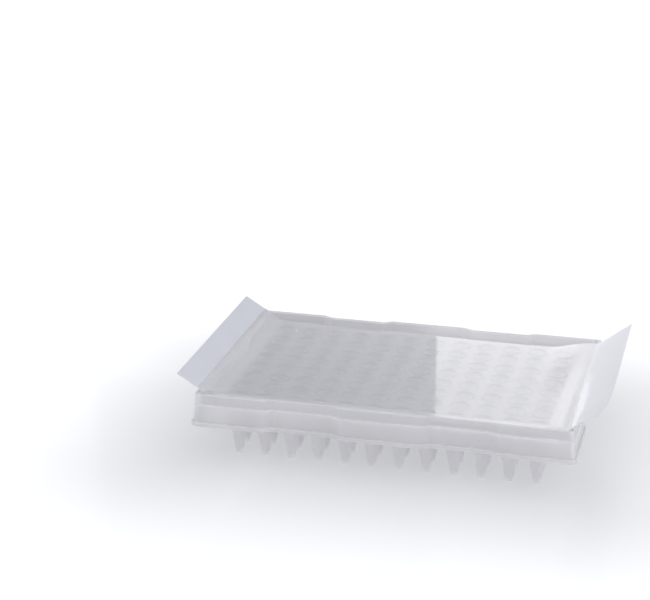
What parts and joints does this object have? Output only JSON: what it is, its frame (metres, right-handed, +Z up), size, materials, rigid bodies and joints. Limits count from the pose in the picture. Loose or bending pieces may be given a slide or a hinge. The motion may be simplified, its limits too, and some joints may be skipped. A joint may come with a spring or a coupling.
{
  "type": "sealed pcr plate",
  "caption": "Semi-skirted well plate in frosted plastic with tapered tubes, a raised rim and shallow grip recesses, sealed by a clear adhesive film with raised white end tabs.",
  "frame": {"origin": "centre of the well field, on the plane of the tube tips that the plate stands on", "axes": "+X along the twelve columns, towards the longer end tab; +Y along the eight rows, towards the back; +Z up, out of the wells"},
  "size_m": [0.14, 0.0858, 0.0322],
  "materials": {
    "polypropylene": "frosted translucent moulded plastic, cool grey where it lies in shade",
    "clear_film": "clear glossy adhesive sheet",
    "white_strip": "satin white backing strip"
  },
  "bodies": {
    "root": {"plate": "polypropylene", "sealing_film": "clear_film", "left_tab": "white_strip", "right_tab": "white_strip"}
  },
  "joints": []
}
